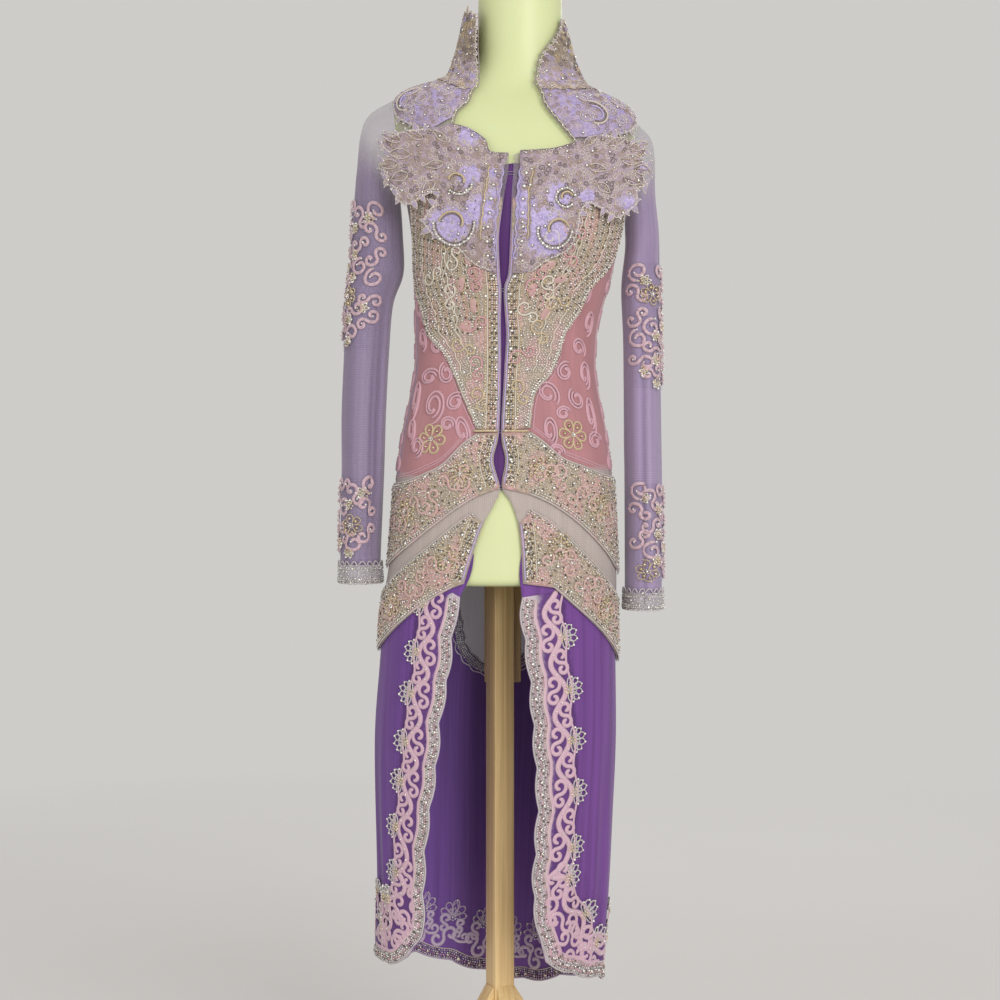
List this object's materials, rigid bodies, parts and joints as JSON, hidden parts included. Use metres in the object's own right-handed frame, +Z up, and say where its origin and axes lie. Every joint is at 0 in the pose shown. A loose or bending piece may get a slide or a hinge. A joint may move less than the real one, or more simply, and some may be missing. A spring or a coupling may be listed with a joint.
{
  "type": "long kebaya blouse on a limbless dress form",
  "caption": "Long open-front lace kebaya with standing collar, long sleeves and trailing skirt panels, worn on a limbless dress form with a wooden post and splayed legs.",
  "frame": {"origin": "on the floor, under the stand's post", "axes": "+Z up; the garment's front faces -Y; the wearer's right is at -X"},
  "size_m": [0.492, 0.492, 1.53],
  "materials": {
    "sheer_tulle": "sheer matte net",
    "lined_tulle": "net over satin lining",
    "beaded_lace": "beads and sequins on lace",
    "lilac_lace": "corded lace",
    "violet_tulle": "sheer matte net",
    "hook_metal": "bright wire",
    "form_plastic": "smooth satin",
    "stand_wood": "thin varnish"
  },
  "bodies": {
    "root": {"back": "lined_tulle", "back_hem_trim": "beaded_lace", "band_lower_left": "beaded_lace", "band_lower_right": "beaded_lace", "band_upper_left": "beaded_lace", "band_upper_right": "beaded_lace", "beaded_panel_left": "beaded_lace", "beaded_panel_right": "beaded_lace", "border_left": "beaded_lace", "border_right": "beaded_lace", "chest_lace_left": "lilac_lace", "chest_lace_right": "lilac_lace", "collar": "lilac_lace", "cuff_left": "beaded_lace", "cuff_right": "beaded_lace", "dress_form": "form_plastic", "front_left": "lined_tulle", "front_right": "lined_tulle", "hem_lace_back": "beaded_lace", "hook_1": "hook_metal", "hook_2": "hook_metal", "hook_3": "hook_metal", "hook_4": "hook_metal", "leg_back": "stand_wood", "leg_front": "stand_wood", "leg_left": "stand_wood", "leg_right": "stand_wood", "neck_lace_left": "lilac_lace", "neck_lace_right": "lilac_lace", "skirt_back": "violet_tulle", "skirt_left": "violet_tulle", "skirt_right": "violet_tulle", "sleeve_lace_lower_left": "beaded_lace", "sleeve_lace_lower_right": "beaded_lace", "sleeve_lace_upper_left": "beaded_lace", "sleeve_lace_upper_right": "beaded_lace", "sleeve_left": "sheer_tulle", "sleeve_right": "sheer_tulle", "stand_post": "stand_wood", "stand_rail": "stand_wood", "underlay": "violet_tulle"}
  },
  "joints": []
}
